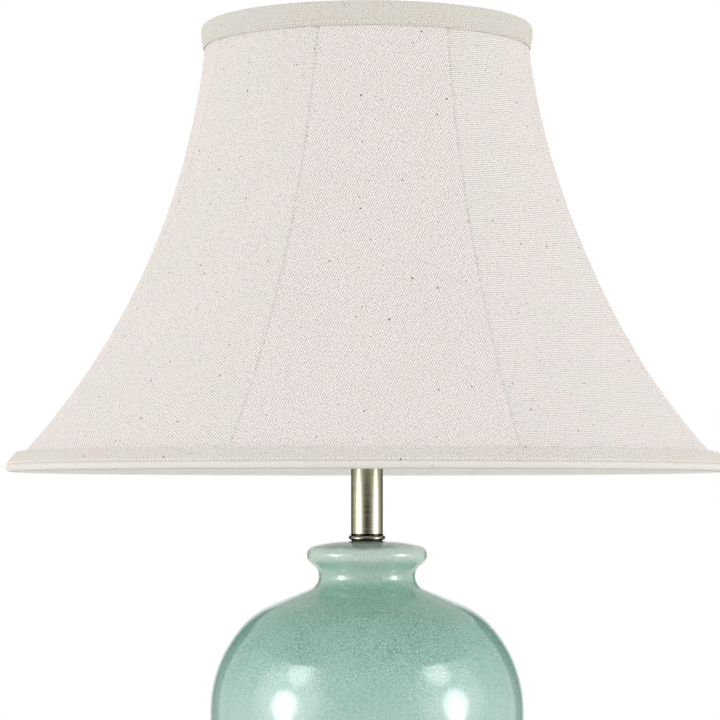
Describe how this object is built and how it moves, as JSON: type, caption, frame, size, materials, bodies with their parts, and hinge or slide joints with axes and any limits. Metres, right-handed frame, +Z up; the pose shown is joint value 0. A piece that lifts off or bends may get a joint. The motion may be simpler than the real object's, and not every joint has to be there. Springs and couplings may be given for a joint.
{
  "type": "table lamp",
  "caption": "Ginger jar table lamp: celadon crackle jar on a metal plinth, short pole, harp and flared bell shade of sewn linen gores.",
  "frame": {"origin": "centre of the lamp's underside, on the surface that it stands on", "axes": "+Z up the pole, -Y towards the viewer and the switch knob, +Y towards the cord inlet, harp legs along X"},
  "size_m": [0.457, 0.457, 0.6388],
  "materials": {
    "shade_linen": "cream linen with small dark flecks",
    "trim_fabric": "folded cream linen band, stitched",
    "lining_fabric": "smooth off-white lining",
    "brushed_nickel": "warm brushed nickel plate, lacquered",
    "celadon_glaze": "glossy celadon with fine crackle",
    "plain_steel": "zinc plated steel",
    "cast_iron": "rough cast iron",
    "nickel_wire": "nickel plated wire",
    "painted_wire": "white enamelled wire",
    "brass": "rolled sheet brass",
    "rubber": "soft black rubber",
    "felt": "dark green wool felt",
    "black_plastic": "moulded black phenolic",
    "fibre": "pressed insulating fibre",
    "bulb_glass": "frosted soda glass",
    "clear_glass": "clear glass",
    "bulb_metal": "rolled aluminium",
    "tungsten": "fine wire"
  },
  "bodies": {
    "base": {"felt_pad": "felt", "base_shell": "brushed_nickel", "base_weight": "cast_iron", "cord_bushing": "black_plastic", "lock_washer": "plain_steel", "lower_nut": "plain_steel", "jar_gasket": "rubber", "jar": "celadon_glaze", "seat_washer": "rubber", "check_ring": "brushed_nickel", "threaded_rod": "plain_steel", "pole_tube": "brushed_nickel", "pole_cap": "brushed_nickel", "harp_saddle": "nickel_wire", "saddle_nut": "plain_steel", "socket_cap": "brass", "set_screw": "plain_steel", "cap_liner": "fibre", "socket_shell": "brass", "shell_liner": "fibre", "socket_body": "black_plastic", "screw_shell": "brass", "centre_contact": "brass", "terminal_screws": "brass"},
    "switch": {"switch_shaft": "brass", "switch_knob": "black_plastic"},
    "bulb_contact": {"bulb_tip": "bulb_metal", "bulb_insulator": "black_plastic"},
    "bulb": {"bulb_cap": "bulb_metal", "bulb_glass": "bulb_glass", "bulb_stem": "clear_glass", "bulb_filament": "tungsten"},
    "harp": {"harp_bow": "nickel_wire"},
    "ferrule_left": {"harp_ferrule_left": "nickel_wire"},
    "ferrule_right": {"harp_ferrule_right": "nickel_wire"},
    "stud": {"harp_stud": "plain_steel"},
    "shade": {"spider_washer": "painted_wire", "spider_arms": "painted_wire", "top_ring": "painted_wire", "bottom_ring": "painted_wire", "rib_wires": "painted_wire", "shade_lining": "lining_fabric", "top_trim": "trim_fabric", "bottom_trim": "trim_fabric", "shade_panel_1": "shade_linen", "shade_panel_2": "shade_linen", "shade_panel_3": "shade_linen", "shade_panel_4": "shade_linen", "shade_panel_5": "shade_linen", "shade_panel_6": "shade_linen", "shade_panel_7": "shade_linen", "shade_panel_8": "shade_linen"},
    "finial_core": {"finial_insert": "brass"},
    "finial": {"finial_knob": "brushed_nickel"}
  },
  "joints": [
    {"name": "switch_turn", "type": "hinge", "parent": "base", "child": "switch", "pos_m": [0, -0.02, 0.3912], "axis": [0, -1, 0], "continuous": true},
    {"name": "bulb_rise", "type": "slide", "parent": "base", "child": "bulb_contact", "axis": [0, 0, 1], "range_m": [0, 0.0219]},
    {"name": "bulb_turn", "type": "hinge", "parent": "bulb_contact", "child": "bulb", "pos_m": [0, 0, 0.45], "axis": [0, 0, 1], "range_deg": [0, 2160]},
    {"name": "harp_lift", "type": "slide", "parent": "base", "child": "harp", "axis": [0, 0, 1], "range_m": [0, 0.014]},
    {"name": "ferrule_left_slide", "type": "slide", "parent": "harp", "child": "ferrule_left", "axis": [0, 0, 1], "range_m": [0, 0.013]},
    {"name": "ferrule_right_slide", "type": "slide", "parent": "harp", "child": "ferrule_right", "axis": [0, 0, 1], "range_m": [0, 0.013]},
    {"name": "shade_swivel", "type": "hinge", "parent": "harp", "child": "stud", "pos_m": [0, 0, 0.611], "axis": [0, 0, 1], "continuous": true},
    {"name": "shade_lift", "type": "slide", "parent": "stud", "child": "shade", "axis": [0, 0, 1], "range_m": [0, 0.0165]},
    {"name": "finial_rise", "type": "slide", "parent": "shade", "child": "finial_core", "axis": [0, 0, 1], "range_m": [0, 0.0134]},
    {"name": "finial_turn", "type": "hinge", "parent": "finial_core", "child": "finial", "pos_m": [0, 0, 0.63], "axis": [0, 0, 1], "range_deg": [0, 5040]}
  ],
  "couplings": [
    {"joint": "bulb_rise", "follows": "bulb_turn", "m_per_rad": 0.00057773},
    {"joint": "finial_rise", "follows": "finial_turn", "m_per_rad": 0.00014972}
  ]
}
